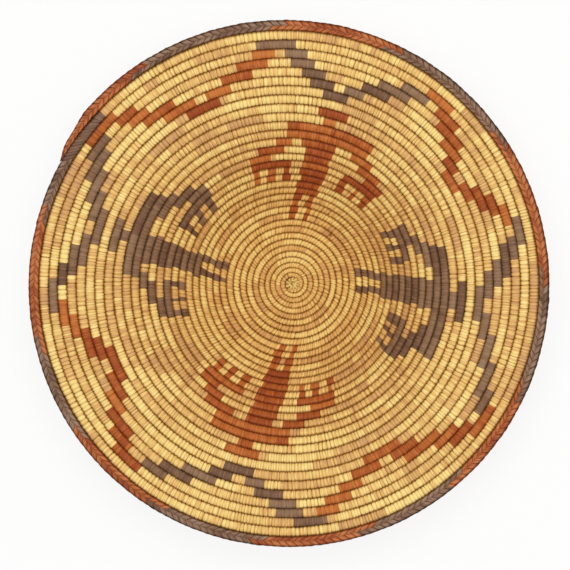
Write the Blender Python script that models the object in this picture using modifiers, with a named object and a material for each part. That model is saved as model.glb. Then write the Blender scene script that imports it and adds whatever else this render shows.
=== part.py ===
"""Coiled basket tray, built as it is sewn: a start knot, one spiral of bunched rods,
a sleeve of sewing splints over every turn of it, and a braided rim in dyed lengths.

Metres, +Z up. The origin is the middle of the start knot's flat underside.
"""

import math

import bmesh
import bpy
import numpy as np
from mathutils import Vector

# The coil: the width of one turn, sewn, at the knot, half way out and at the rim
FIRST_COIL = 0.0034
MIDDLE_COIL = 0.0064
LAST_COIL = 0.0070

# The start knot: its radius where the coil leaves it, and the rounding of its edge
KNOT_RADIUS = 0.0030
KNOT_ROUNDING = 0.0004

# Sewing splint and the room left between one piece and the next
SPLINT = 0.0004
CLEARANCE = 0.0003

# Section of a sewn coil, as shares of its width: how high it stands and how wide its flats are
COIL_HEIGHT = 0.94
COIL_FLAT = 0.56

# The bowl's curve, as lengths measured out along the wall from the middle
BASE_REACH = 0.0270
FOOT_BEND = 0.0510
WALL_RUN = 0.0650
FLANGE_BEND = 0.0850
WALL_SLOPE = math.radians(36.0)
FLANGE_SLOPE = math.radians(8.5)

# Where the coil starts and how many whole turns it makes in plain sewing
START_ANGLE = 215
WHOLE_ROWS = 33

# The rim: one braided turn over the last coil
RIM_WIDTH = 0.0080
RIM_TIP = 0.0026
RIM_TAPER_START = 504
WRAP_START = 137

# Where each dyed length of braid begins, in degrees round the tray, and where the last one ends
BRAID_JOINTS = (150, 161, 190.5, 212, 236.5, 261.4, 283.5, 307.6, 336.5, 360, 396.6, 423.5, 450, 482, 512)

# Straight steps in one turn: near the knot, for its first turns, and over the rest
KNOT_STEPS = 9
KNOT_TURNS = 3
WALL_STEPS = 18
PROFILE_STEP = 0.00025

# Finishes: colour, roughness
NATURAL = (0.60, 0.38, 0.14), 0.62
START = (0.66, 0.44, 0.17), 0.60
RUST = (0.37, 0.075, 0.018), 0.58
BROWN = (0.125, 0.070, 0.050), 0.58
PEELED_ROD = (0.52, 0.40, 0.25), 0.75


def turn_at(degrees):
    """The turn of the coil that passes this angle on the rim's round."""
    return WHOLE_ROWS + (degrees - START_ANGLE + 360) / 360


PLAIN_END = turn_at(WRAP_START)
BRAID_START = turn_at(BRAID_JOINTS[0])
TAPER_START = turn_at(RIM_TAPER_START)
RIM_END = turn_at(BRAID_JOINTS[-1])
ROW_JOINT = 0.5 / WALL_STEPS

# The corners of the steps stand as far outside the true round as their sides lie inside it
CORNER_REACH = (3 - math.cos(math.pi / WALL_STEPS)) / 2


def clear_scene():
    for obj in list(bpy.data.objects):
        bpy.data.objects.remove(obj, do_unlink=True)


def make_collection(name):
    collection = bpy.data.collections.new(name)
    bpy.context.scene.collection.children.link(collection)
    return collection


def make_finish(name, colour, roughness):
    finish = bpy.data.materials.new(name)
    finish.use_nodes = True
    shader = finish.node_tree.nodes["Principled BSDF"]
    shader.inputs["Base Color"].default_value = (*colour, 1.0)
    shader.inputs["Roughness"].default_value = roughness
    shader.inputs["Metallic"].default_value = 0.0
    finish.diffuse_color = (*colour, 1.0)
    return finish


def ease(share):
    """0 to 1 with no corner at either end."""
    share = min(max(share, 0.0), 1.0)
    return share * share * (3.0 - 2.0 * share)


def plain_width(turn):
    """Width of a plainly sewn coil: a parabola through its three widths."""
    share = turn / RIM_END
    bow = 4.0 * MIDDLE_COIL - 3.0 * FIRST_COIL - LAST_COIL
    return FIRST_COIL + bow * share + (LAST_COIL - FIRST_COIL - bow) * share * share


def coil_width(turn):
    """Width of the coil with its sewing or braid, which swells into the braid and ends in a taper."""
    swell = ease((turn - PLAIN_END) / (BRAID_START - PLAIN_END))
    width = plain_width(turn) + (RIM_WIDTH - plain_width(turn)) * swell
    if turn > TAPER_START:
        width += (RIM_TIP - RIM_WIDTH) * (turn - TAPER_START) / (RIM_END - TAPER_START)
    return width


def inner_edge(turn):
    """How far out along the wall a turn begins: each one lies against the turn before."""
    if turn < 1.0:
        return KNOT_RADIUS + FIRST_COIL * turn
    return inner_edge(turn - 1.0) + coil_width(turn - 1.0)


def wall_slope(reach):
    """Slope of the wall at this reach: flat under the base, steep, then easing to the flange."""
    rise = ease((reach - BASE_REACH) / FOOT_BEND)
    fall = ease((reach - BASE_REACH - WALL_RUN) / FLANGE_BEND)
    return WALL_SLOPE * rise - (WALL_SLOPE - FLANGE_SLOPE) * fall


def wall_curve():
    """Reach, radius and height at close steps along the wall."""
    steps = math.ceil((inner_edge(RIM_END) + RIM_WIDTH) / PROFILE_STEP)
    reach = np.arange(steps + 1) * PROFILE_STEP
    slope = np.array([wall_slope(each) for each in reach[:-1] + PROFILE_STEP / 2])
    radius = np.concatenate([[0.0], np.cumsum(np.cos(slope) * PROFILE_STEP)])
    height = np.concatenate([[0.0], np.cumsum(np.sin(slope) * PROFILE_STEP)])
    return reach, radius, height


WALL = wall_curve()


def body_width(turn):
    """Width of the sleeve itself, which leaves its clearance to the next turn."""
    return coil_width(turn) - CLEARANCE


def on_round(turn, reach, height):
    """The point on the bowl's round at this reach, this much above the wall's middle line."""
    angle = math.radians(START_ANGLE) + math.tau * turn
    radius = np.interp(reach, WALL[0], WALL[1]) * CORNER_REACH
    rise = np.interp(reach, WALL[0], WALL[2])
    return Vector((radius * math.cos(angle), radius * math.sin(angle), rise + height))


def middle_reach(turn):
    return inner_edge(turn) + coil_width(turn) / 2


def coil_edge(turn):
    """The point where a turn meets the turn before, at half the coil's height."""
    return on_round(turn, inner_edge(turn), COIL_HEIGHT * (plain_width(turn) - CLEARANCE) / 2)


def outward(turn):
    """One unit out along the wall, square to the coil."""
    angle = math.radians(START_ANGLE) + math.tau * turn
    slope = wall_slope(middle_reach(turn))
    return Vector((math.cos(angle) * math.cos(slope), math.sin(angle) * math.cos(slope), math.sin(slope)))


def all_bends():
    """The turns at which the straight steps meet. The finer steps lie outside the coarser ones."""
    last = math.ceil(RIM_END * WALL_STEPS)
    near = [step / KNOT_STEPS for step in range(KNOT_TURNS * KNOT_STEPS)]
    return near + [step / WALL_STEPS for step in range(KNOT_TURNS * WALL_STEPS, last + 1)]


BENDS = all_bends()


def on_coil(turn):
    """The point on the stepped middle line of the coil, half a width out from the turn before."""
    after = next(index for index, bend in enumerate(BENDS) if bend > turn)
    start, end = BENDS[after - 1], BENDS[after]
    share = (turn - start) / (end - start)
    edge = coil_edge(start).lerp(coil_edge(end), share)
    return edge + outward(start).lerp(outward(end), share) * coil_width(turn) / 2


def stretch(start, end, trim):
    """Turns and points of one stretch of the coil, shortened at both ends by trim."""
    marks = sorted(BENDS + [TAPER_START])
    turns = [start] + [mark for mark in marks if start < mark < end] + [end]
    points = [on_coil(turn) for turn in turns]
    points[0] += (points[1] - points[0]).normalized() * trim
    points[-1] += (points[-2] - points[-1]).normalized() * trim
    return turns, points


def make_section(name, corners, collection):
    """A closed outline, one unit in radius, that a stretch of coil is swept with."""
    outline = bpy.data.curves.new(name, "CURVE")
    outline.dimensions = "2D"
    spline = outline.splines.new("POLY")
    spline.points.add(len(corners) - 1)
    for point, (across, up) in zip(spline.points, corners):
        point.co = (across, up, 0.0, 1.0)
    spline.use_cyclic_u = True
    section = bpy.data.objects.new(name, outline)
    collection.objects.link(section)
    section.hide_render = True
    section.display_type = "WIRE"
    return section


def coil_section(collection):
    """Six sides with a flat above and below, so that the base rows stand on their flats."""
    side = [(1.0, 0.0), (COIL_FLAT, COIL_HEIGHT), (-COIL_FLAT, COIL_HEIGHT)]
    return make_section("coil_section", side + [(-across, -up) for across, up in side], collection)


def rod_section(collection):
    """Three sides, as three rods bunched together lie."""
    corners = [(math.cos(math.tau * rod / 3), math.sin(math.tau * rod / 3)) for rod in range(3)]
    return make_section("rod_section", corners, collection)


def sweep(name, section, turns, points, radii, collection, finish=None):
    """A closed mesh of the section swept along the points and leaning with the wall."""
    path = bpy.data.curves.new(name, "CURVE")
    path.dimensions = "3D"
    path.twist_mode = "Z_UP"
    path.bevel_mode = "OBJECT"
    path.bevel_object = section
    path.use_fill_caps = True
    spline = path.splines.new("POLY")
    spline.points.add(len(points) - 1)
    for point, turn, place, radius in zip(spline.points, turns, points, radii):
        point.co = (*place, 1.0)
        point.radius = radius
        point.tilt = -wall_slope(middle_reach(turn))
    guide = bpy.data.objects.new(name + "_path", path)
    collection.objects.link(guide)
    graph = bpy.context.evaluated_depsgraph_get()
    mesh = bpy.data.meshes.new_from_object(guide.evaluated_get(graph))
    bpy.data.objects.remove(guide, do_unlink=True)
    weld = bmesh.new()
    weld.from_mesh(mesh)
    bmesh.ops.remove_doubles(weld, verts=weld.verts, dist=1e-6)
    bmesh.ops.recalc_face_normals(weld, faces=weld.faces)
    weld.to_mesh(mesh)
    weld.free()
    mesh.materials.clear()
    if finish:
        mesh.materials.append(finish)
    mesh.shade_smooth()
    mesh.set_sharp_from_angle(angle=math.radians(70))
    obj = bpy.data.objects.new(name, mesh)
    collection.objects.link(obj)
    return obj


def channel_radius(turn):
    """Corner radius of the channel that the rods lie in, one splint inside the plain coil."""
    return (plain_width(turn) - CLEARANCE) / 2 - SPLINT


def rod_radius(turn):
    """Corner radius of the bunched rods: their sides stay a clearance off the channel's sides."""
    return channel_radius(turn) - CLEARANCE / math.cos(math.tau / 6)


def sewn_sleeve(name, start, end, finish, parts, cutters, sections, channel_end=None):
    """One stretch of sewing over the rods: a sleeve with the rods' channel through it."""
    turns, points = stretch(start, end, CLEARANCE / 2)
    outer_radii = [body_width(turn) / 2 for turn in turns]
    sleeve = sweep(name, sections["coil"], turns, points, outer_radii, parts, finish)
    turns, points = stretch(start, channel_end or end, -CLEARANCE)
    inner_radii = [channel_radius(turn) for turn in turns]
    channel = sweep(name + "_channel", sections["rod"], turns, points, inner_radii, cutters)
    channel.hide_render = True
    channel.display_type = "WIRE"
    cut = sleeve.modifiers.new("rod_channel", "BOOLEAN")
    cut.operation = "DIFFERENCE"
    cut.object = channel
    return sleeve


def knot_corner(turn):
    """A corner of the knot's edge, a clearance inside the first turn of the coil."""
    reach = middle_reach(turn) - body_width(turn) / 2 - CLEARANCE / math.cos(math.pi / KNOT_STEPS)
    corner = on_round(turn, reach, 0.0)
    return Vector((corner.x, corner.y, 0.0))


def knot_step(turn):
    """A point on the step that the coil springs from, half a clearance behind the coil's end."""
    start = knot_corner(math.floor(turn * KNOT_STEPS) / KNOT_STEPS)
    end = knot_corner(math.ceil(turn * KNOT_STEPS) / KNOT_STEPS)
    return start.lerp(end, (turn * KNOT_STEPS) % 1.0) - (end - start).normalized() * CLEARANCE / 2


def start_knot(parts, finish):
    """A flat button with a snail's outline: the coil springs from the step in its edge."""
    corners = [knot_step(ROW_JOINT)]
    corners += [knot_corner(step / KNOT_STEPS) for step in range(1, KNOT_STEPS + 1)]
    corners.append(knot_step(1.0 + ROW_JOINT))
    height = COIL_HEIGHT * body_width(0.0)
    outline = bpy.data.curves.new("start_knot", "CURVE")
    outline.dimensions = "2D"
    outline.fill_mode = "BOTH"
    outline.extrude = height / 2
    spline = outline.splines.new("POLY")
    spline.points.add(len(corners) - 1)
    for point, corner in zip(spline.points, corners):
        point.co = (corner.x, corner.y, 0.0, 1.0)
    spline.use_cyclic_u = True
    guide = bpy.data.objects.new("start_knot_outline", outline)
    parts.objects.link(guide)
    graph = bpy.context.evaluated_depsgraph_get()
    mesh = bpy.data.meshes.new_from_object(guide.evaluated_get(graph))
    bpy.data.objects.remove(guide, do_unlink=True)
    weld = bmesh.new()
    weld.from_mesh(mesh)
    bmesh.ops.remove_doubles(weld, verts=weld.verts, dist=1e-6)
    bmesh.ops.dissolve_limit(weld, angle_limit=0.01, verts=weld.verts, edges=weld.edges)
    bmesh.ops.recalc_face_normals(weld, faces=weld.faces)
    weld.to_mesh(mesh)
    weld.free()
    mesh.materials.clear()
    mesh.materials.append(finish)
    knot = bpy.data.objects.new("start_knot", mesh)
    parts.objects.link(knot)
    knot.location.z = height / 2
    rounding = knot.modifiers.new("rounded_edge", "BEVEL")
    rounding.width = KNOT_ROUNDING
    rounding.segments = 1
    rounding.limit_method = "ANGLE"
    rounding.angle_limit = math.radians(60)
    return knot


def foundation_rods(parts, section, finish):
    """The bunched rods, one unbroken spiral from the knot to where the rim starts to taper."""
    turns, points = stretch(ROW_JOINT, TAPER_START, CLEARANCE)
    radii = [rod_radius(turn) for turn in turns]
    print("least gap between turns of the rods, mm:", round(1000 * least_gap(turns, points, radii), 2))
    print("length of the rods, m:", round(sum((b - a).length for a, b in zip(points, points[1:])), 2))
    return sweep("foundation_rods", section, turns, points, radii, parts, finish)


def least_gap(turns, points, radii):
    """Least distance between the rods of one turn and of the next, measured at their bends."""
    gaps = []
    for turn, point, radius in zip(turns, points, radii):
        inside = [i for i, other in enumerate(turns) if 0.9 < turn - other < 1.1]
        gaps += [(point - points[i]).length - radius - radii[i] for i in inside]
    return min(gaps)


def stitching_rows(parts, cutters, sections, finish):
    """One sleeve of natural splints for each turn, and the part turn that meets the rim."""
    joints = [row + ROW_JOINT for row in range(WHOLE_ROWS + 1)] + [PLAIN_END]
    for row, (start, end) in enumerate(zip(joints, joints[1:]), 1):
        sewn_sleeve(f"stitching_row_{row:02d}", start, end, finish, parts, cutters, sections)


def rim(parts, cutters, sections, brown, rust):
    """The brown wrap that starts the rim, then the braid in lengths of brown and rust."""
    sewn_sleeve("rim_start_wrap", PLAIN_END, BRAID_START, brown, parts, cutters, sections)
    joints = [turn_at(joint) for joint in BRAID_JOINTS]
    for length, (start, end) in enumerate(zip(joints, joints[1:]), 1):
        colour, finish = ("brown", brown) if length % 2 else ("rust", rust)
        name = f"rim_braid_{length:02d}_{colour}"
        channel_end = min(end, TAPER_START)
        sewn_sleeve(name, start, end, finish, parts, cutters, sections, channel_end)


def main():
    clear_scene()
    parts = make_collection("coiled_basket")
    cutters = make_collection("cutters")
    sections = {"coil": coil_section(cutters), "rod": rod_section(cutters)}
    natural = make_finish("natural_splint", *NATURAL)
    start_knot(parts, make_finish("start_splint", *START))
    foundation_rods(parts, sections["rod"], make_finish("peeled_rod", *PEELED_ROD))
    stitching_rows(parts, cutters, sections, natural)
    rim(parts, cutters, sections, make_finish("brown_splint", *BROWN), make_finish("rust_splint", *RUST))


main()
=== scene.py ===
# %% [markdown]
# # A coiled basket tray, sewn stitch by stitch
#
# The real tray is one long coil. A bunch of peeled rods is wound outward from a small
# button in the middle, and every turn is sewn to the turn inside it with flat wooden
# splints. Undyed splints give the yellow ground. Splints dyed rust and dark brown draw
# four eagles and an eight-pointed stepped star. The last turn is braided.
#
# A pattern painted on a smooth bowl would be quicker, but it would show smooth rings.
# Here about seven thousand stitches are laid along the coil, each with its own width,
# tone and height, so the pattern has the stepped edges that real sewing has.

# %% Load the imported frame
import math

import bpy
import numpy as np
from mathutils import Matrix, Vector


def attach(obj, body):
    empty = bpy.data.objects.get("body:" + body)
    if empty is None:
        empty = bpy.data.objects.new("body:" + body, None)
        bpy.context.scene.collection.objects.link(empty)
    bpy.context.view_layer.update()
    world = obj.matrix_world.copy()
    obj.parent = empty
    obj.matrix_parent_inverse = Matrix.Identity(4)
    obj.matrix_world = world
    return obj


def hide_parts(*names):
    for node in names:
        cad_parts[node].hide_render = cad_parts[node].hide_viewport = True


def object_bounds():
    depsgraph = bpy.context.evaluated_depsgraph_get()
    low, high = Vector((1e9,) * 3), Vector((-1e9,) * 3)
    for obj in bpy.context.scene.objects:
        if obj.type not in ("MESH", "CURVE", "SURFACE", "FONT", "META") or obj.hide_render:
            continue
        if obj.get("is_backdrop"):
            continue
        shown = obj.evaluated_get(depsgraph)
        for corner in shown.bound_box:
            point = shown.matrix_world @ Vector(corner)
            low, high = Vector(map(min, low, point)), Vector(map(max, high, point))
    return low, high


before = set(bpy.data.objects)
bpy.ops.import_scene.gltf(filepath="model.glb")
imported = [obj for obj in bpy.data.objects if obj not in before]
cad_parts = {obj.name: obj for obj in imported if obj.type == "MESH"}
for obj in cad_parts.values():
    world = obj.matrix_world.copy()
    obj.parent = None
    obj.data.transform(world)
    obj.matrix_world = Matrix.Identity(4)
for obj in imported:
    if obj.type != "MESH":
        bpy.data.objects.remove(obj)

packed_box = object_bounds()
print("nodes in the frame:", len(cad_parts))

# %% [markdown]
# ## The coil's own line
#
# Everything hangs on one curve: the spiral that the coil follows while it climbs the
# bowl's wall. It could be drawn by hand, or traced, but it follows from a few sizes: how
# wide the coil is at the knot, half way out and at the rim, and how the wall bends.
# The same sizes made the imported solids, so pieces laid on this line fit them. Lengths
# are in metres, and angles are in degrees until they are turned into radians.
#
# A place on the coil is a turn: turn 0 leaves the knot, and turn 33.8 meets the rim.

# %% Sizes of the coil
FIRST_COIL = 0.0034
MIDDLE_COIL = 0.0064
LAST_COIL = 0.0070
KNOT_RADIUS = 0.0030
CLEARANCE = 0.0003
SPLINT = 0.0004
COIL_HEIGHT = 0.94
BASE_REACH = 0.0270
FOOT_BEND = 0.0510
WALL_RUN = 0.0650
FLANGE_BEND = 0.0850
WALL_SLOPE = math.radians(36.0)
FLANGE_SLOPE = math.radians(8.5)
START_ANGLE = 215
WHOLE_ROWS = 33
RIM_WIDTH = 0.0080
RIM_TIP = 0.0026
ROW_JOINT = 0.5 / 18
BRAID_JOINTS = (150, 161, 190.5, 212, 236.5, 261.4, 283.5, 307.6, 336.5, 360,
                396.6, 423.5, 450, 482, 512)


def turn_at(degrees, row=WHOLE_ROWS):
    """The turn of the coil where this row passes this angle round the tray."""
    return row + (degrees - START_ANGLE + 360) / 360


PLAIN_END = turn_at(137)
BRAID_START = turn_at(BRAID_JOINTS[0])
TAPER_START = turn_at(504)
RIM_END = turn_at(BRAID_JOINTS[-1])
print("turns to the rim, and in all:", round(PLAIN_END, 2), round(RIM_END, 2))

# %% The coil's widths and the wall's curve


def ease(share):
    """0 to 1 with no corner at either end."""
    share = np.clip(share, 0.0, 1.0)
    return share * share * (3.0 - 2.0 * share)


def plain_width(turn):
    """Width of the plain coil, from its three sizes."""
    share = turn / RIM_END
    bow = 4.0 * MIDDLE_COIL - 3.0 * FIRST_COIL - LAST_COIL
    return FIRST_COIL + bow * share + (LAST_COIL - FIRST_COIL - bow) * share * share


def coil_width(turn):
    """Width with the sewing: it swells into the braid and ends in a taper."""
    swell = ease((turn - PLAIN_END) / (BRAID_START - PLAIN_END))
    width = plain_width(turn) + (RIM_WIDTH - plain_width(turn)) * swell
    taper = np.clip((turn - TAPER_START) / (RIM_END - TAPER_START), 0.0, 1.0)
    return width + (RIM_TIP - RIM_WIDTH) * taper


def inner_edge(turn):
    """How far out along the wall a turn begins: each lies against the turn before."""
    whole = np.floor(turn)
    part = turn - whole
    reach = KNOT_RADIUS + FIRST_COIL * part
    for before in range(WHOLE_ROWS + 2):
        reach = reach + np.where(before < whole, coil_width(part + before), 0.0)
    return reach


def wall_slope(reach):
    """Flat under the base, steep up the wall, then easing to the flange."""
    rise = ease((reach - BASE_REACH) / FOOT_BEND)
    fall = ease((reach - BASE_REACH - WALL_RUN) / FLANGE_BEND)
    return WALL_SLOPE * rise - (WALL_SLOPE - FLANGE_SLOPE) * fall


TABLE_PLACES = 720 * 35
TURNS = np.linspace(0.0, RIM_END, TABLE_PLACES)
EDGE = inner_edge(TURNS)
WALL_STEP = 0.00025
REACH = np.arange(0.0, EDGE[-1] + RIM_WIDTH, WALL_STEP)
SLOPE = wall_slope(REACH[:-1] + WALL_STEP / 2)
RADIUS = np.concatenate([[0.0], np.cumsum(np.cos(SLOPE) * WALL_STEP)])
RISE = np.concatenate([[0.0], np.cumsum(np.sin(SLOPE) * WALL_STEP)])
print("reach of the wall, mm:", round(1000 * REACH[-1], 1))

# %% [markdown]
# ## A place beside the coil
#
# Stitches, strands and rods all need points beside the coil's middle line: so far out
# along the wall, and so far up from it. One function gives them for whole arrays of
# turns at once. It reads a table worked out along the coil, because working out the
# spiral afresh for every one of eight hundred thousand points would be slow.

# %% The coil's table
COIL = {
    "half_width": coil_width(TURNS) / 2,
    "half_height": COIL_HEIGHT * (coil_width(TURNS) - CLEARANCE) / 2,
    "slope": wall_slope(EDGE + coil_width(TURNS) / 2),
    "radius": np.interp(EDGE, REACH, RADIUS),
    "rise": np.interp(EDGE, REACH, RISE) + COIL_HEIGHT * (plain_width(TURNS) - CLEARANCE) / 2,
}


def of_coil(what, turn):
    """One column of the table at any turn."""
    return np.interp(turn, TURNS, COIL[what])


def on_coil(turn, out, up):
    """Points beside the middle line: out along the wall, and up square to it."""
    angle = math.radians(START_ANGLE) + math.tau * turn
    slope = of_coil("slope", turn)
    run = of_coil("half_width", turn) + out
    radius = of_coil("radius", turn) + run * np.cos(slope) - up * np.sin(slope)
    rise = of_coil("rise", turn) + run * np.sin(slope) + up * np.cos(slope)
    return np.stack([radius * np.cos(angle), radius * np.sin(angle), rise], axis=-1)


def round_length(turn):
    """Length of one whole turn here, along the coil's middle line."""
    slope = of_coil("slope", turn)
    return math.tau * (of_coil("radius", turn) + of_coil("half_width", turn) * np.cos(slope))


print("length of the coil, m:", round(float(np.mean(round_length(TURNS)) * RIM_END), 1))

# %% [markdown]
# ## The weaver's chart
#
# The eagles and the star are counted out, row by row, like cross stitch. A weaver would
# keep the counts in the head or on paper. Here the chart is written down the same way:
# for each row, from which angle to which angle round the tray the dyed splint is used.
#
# Every V of the star starts on an outer row, steps in four rows and steps back out. The
# eagles are given from the head inward: head, neck, wings, body, feet and tail.

# %% The star and the eagles
STAR_STEPS = (0, -1, -2, -3, -4, -3, -2, -1, 0, 1)
STAR = [
    ("rust", 31, "14.8-20.5 18.2-24.6 20.8-28.3 24.7-30.1 28.4-36 33.3-39.2 36.3-42.8 "
                 "38.2-46.6 42.2-49.2 46.3-54.2"),
    ("brown", 31, "52.5-60 56.5-65 61-69.5 67.4-73.1 71.8-79 76.7-83.5 79.2-86.2 "
                  "82.4-88.4 84.4-90.5 87.7-96.9"),
    ("rust", 31, "92.7-98.2 94.9-102.7 99.4-108.2 105.6-113.3 110-120.8 116.9-126.4 "
                 "121.6-131.8 128-134.8 130.5-136.9 135.5-144.4"),
    ("brown", 31, "140.4-147.5 143.4-152.3 147.4-157.7 152.6-162.3 157.4-167.8 "
                  "165.4-174.4 169.2-177.7 174.6-180 178.1-186.4"),
    ("rust", 30, "183.9-190.2 187.5-194.4 192.1-200 195-201.9 198.6-210.6 206.2-214.7 "
                 "210.8-218 215.3-224 218.8-226.3 223.3-231.2"),
    ("brown", 30, "230.1-238.1 234.6-243.7 240.2-249.9 246.8-254 250.6-259.9 "
                  "257.7-263.6 260.9-268.5 265.2-272.3 266.8-274.1 271.5-279.8"),
    ("rust", 30, "277.3-283.2 280.4-287.5 284.3-291 288.9-298.4 293.4-306.2 301.7-310 "
                 "304.8-316 312.5-320.2 316.5-323.5 321.6-330.1"),
    ("brown", 30, "326.5-333.3 330.2-339.3 336.9-346.8 344.8-352.3 349.9-360 "
                  "356.5-364.4 359.8-367.2 361.8-370.6 366.3-372.4 370.1-376.7"),
]
EAGLES = [
    ("rust", 25, """
        70.4-79.9
        73.4-78
        57.4-89.6
        58.1-90.6
        54.5-64.4 71.2-83.8 88.1-95.1
        48.6-59.1 71.4-83.3 91.9-102.7
        44.9-54.6 71.5-84 98.2-107.9
        45.1-63.6 71.5-84.7 89.3-107.9
        45.8-49.1 52.8-56.1 60.5-63.8 72-85.4 90-92.6 97-101 105.6-108.6
        46.7-49.6 53.1-56.3 61.3-64.9 72.8-85.3 90.6-94.8 98.5-102.3 106.3-109.6
        73.6-86.8
        73.9-87.8
        74.9-78.9 83.8-87.9
        75.3-80 86-89.9
        75.4-80.8 86.1-91.3
        76.3-81.3 87.3-92.3"""),
    ("brown", 25, """
        157.9-168.9
        161.2-165.1
        145.1-175.9
        144.9-176.8
        140.8-152.2 160-170.8 175.2-181.9
        135.4-145 160-171.3 178.5-187.8
        131.3-140 160.5-171.8 184.8-194.5
        131.5-152.1 160-172.4 178.2-195.5
        132.6-136.1 140.9-144.5 149-152.6 160.4-171.8 178.3-181.5 186.3-188.8 193-196
        133.5-136.9 142-145.6 149.8-153.1 161-173.3 179.3-182.8 186.8-189.1 192.5-196.3
        161.5-173.9
        161.3-175
        162.1-166.3 170.5-174.8
        162.4-166.8 171.8-176.4
        162.5-167.9 173-177.5
        162.1-168 174.4-179.8"""),
    ("rust", 24, """
        248.9-260.9
        252.5-257.6
        240.2-270.3
        239.8-270.9
        233.6-246.2 252.4-263.8 268-277
        230-238.9 252.3-264.4 272.9-283.6
        225.3-235.8 252.9-265.8 279.3-291.8
        225.1-246.6 253-266.1 273.3-292.5
        226-229.6 233.1-237.4 242.3-246.5 253.5-266.8 274-277.3 281.8-284.8 289.8-292.8
        227.1-230.6 233.9-238.4 243-247 254.3-267.8 274-277.4 281.8-285.3 290.6-293.9
        254.5-268.2
        254.5-268.8
        254.8-260.4 264-270
        255.6-260.5 265.5-271.5
        255.9-261.1 266.6-272
        257.8-263 270-275"""),
    ("brown", 24, """
        348.6-360.9
        352.1-358.1
        332.9-374.7
        333.4-376
        333.9-343.7 350.5-362.5 367.2-377.5
        327.9-338.8 350.5-363.3 373.5-382.3
        324-334.5 351-364.2 378.8-388
        324.6-343 351.4-364.4 371-387.8
        324.8-327.6 332.3-335.4 339.6-343.7 351.8-364.8 371-374.5 378.5-381.4 385.4-388.5
        325.6-328.5 333.3-336.3 340.6-344.1 351.5-365.6 371-374.9 379.3-382.3 386.5-389.3
        351.9-366
        352.5-367
        352.8-357.8 363.5-368.3
        353.3-358.5 363.8-369
        352.8-358 365.5-370.5
        353-358.5 366.5-372.3"""),
]


def spans(line, row):
    """The turns between which a dyed splint is sewn, for one row of the chart."""
    for span in line.split():
        first, last = span.split("-")
        yield turn_at(float(first), row), turn_at(float(last), row)


CHART = {"rust": [], "brown": []}
for dye, top_row, line in STAR:
    for step, span in zip(STAR_STEPS, line.split()):
        CHART[dye] += spans(span, top_row + step)
for dye, head_row, lines in EAGLES:
    for step, line in enumerate(lines.split("\n")[1:]):
        CHART[dye] += spans(line, head_row - step)
print("dyed spans in the chart:", {dye: len(turns) for dye, turns in CHART.items()})

# %% [markdown]
# ## Laying the splints
#
# One splint makes from four to sixteen stitches before the next one is spliced in, so
# neighbouring stitches share a width and a tone, and then both change. That is why the
# real tray looks brindled. Random numbers for every single stitch would look like sand,
# and one tone for all would look printed, so the numbers are drawn for each splint, with
# a little more for each stitch. The draws start from a fixed seed and never change.

# %% Draw the stitches of one row
DYES = ("natural", "rust", "brown")
SPLINT_STITCHES = (4, 17)
DYED_STITCHES = (8, 15)
NARROW_STITCH = 0.00235
BROAD_STITCH = 0.00280
BROAD_FROM = 22
SPLINT_SHARE = (0.66, 1.28)
STITCH_SHARE = (0.88, 1.12)
UNDYED_SPREAD = (2.6, 1.8)
DYED_SPREAD = (1.8, 1.8)
TONE_VARIES = 0.07
TRIAL_ROW = 30
draw = np.random.default_rng(34)


def stitch_marks(start, end):
    """Turns at which the stitches of a row begin, and which splint each belongs to."""
    marks, splint = [start], []
    while marks[-1] < end:
        share = draw.uniform(*SPLINT_SHARE)
        for stitch in range(draw.integers(*SPLINT_STITCHES)):
            if marks[-1] < end:
                here = marks[-1]
                pitch = NARROW_STITCH + (BROAD_STITCH - NARROW_STITCH) * ease(here / BROAD_FROM)
                pitch *= share * draw.uniform(*STITCH_SHARE)
                marks.append(here + pitch / round_length(here))
                splint.append(share)
    marks = np.array(marks)
    return start + (marks - start) * (end - start) / (marks[-1] - start), splint


def dye_of(turns):
    """The number of the dye of each stitch, from the chart."""
    dye = np.zeros(len(turns), dtype=int)
    for number, name in enumerate(DYES[1:], 1):
        for first, last in CHART[name]:
            dye[(turns > first) & (turns < last)] = number
    return dye


def tones_of(dye, splint):
    """A tone from 0, the deepest, to 1, the palest, shared by a splint's stitches."""
    tones, left, tone = [], 0, 0.5
    for number, (colour, share) in enumerate(zip(dye, splint)):
        fresh = number == 0 or colour != dye[number - 1]
        if colour == 0 and (fresh or share != splint[number - 1]):
            tone = draw.beta(*UNDYED_SPREAD)
        if colour > 0 and (fresh or left == 0):
            tone = draw.beta(*DYED_SPREAD)
            left = draw.integers(*DYED_STITCHES)
        left -= 1
        tones.append(tone + draw.normal(0.0, TONE_VARIES))
    return np.clip(tones, 0.0, 1.0)


trial_splints = stitch_marks(TRIAL_ROW, TRIAL_ROW + 1)[1]
print("stitches in a row near the rim:", len(trial_splints))

# %% [markdown]
# ## Closed tubes in one go
#
# A sewn row is a tube whose thickness rises and falls with each stitch, and a braid is
# many short tubes. Blender's curves could sweep such tubes, but their thickness can't
# change at every stitch. So rings of points are worked out with numpy, and one function
# joins any stack of rings into closed tubes: quads between rings and a cap on each end.
#
# It also writes down, on every corner, where that corner lies on its splint. The
# finishes read this to run their fibres along the splint. A second map lays the tubes
# out flat without overlaps, for the day the colours are baked to images.

# %% Round sections
FULLNESS = 2.0 / 2.4


def box_at(angle, fullness):
    """A rounded box one unit in size at these angles, and the plain round beside it."""
    out, up = np.cos(angle), np.sin(angle)
    box_out = np.sign(out) * np.abs(out) ** fullness
    box_up = np.sign(up) * np.abs(up) ** fullness
    return box_out, box_up, out, up


def section(spokes, fullness):
    """The rounded box seen along the coil, at even angles: out and up."""
    return box_at(math.tau * np.arange(spokes) / spokes, fullness)


print("a box a little fuller than round:", section(8, FULLNESS)[0].round(2)[:3])

# %% Join rings into closed tubes
MAP_SIDE = 0.01
MAP_END = 0.03


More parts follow.
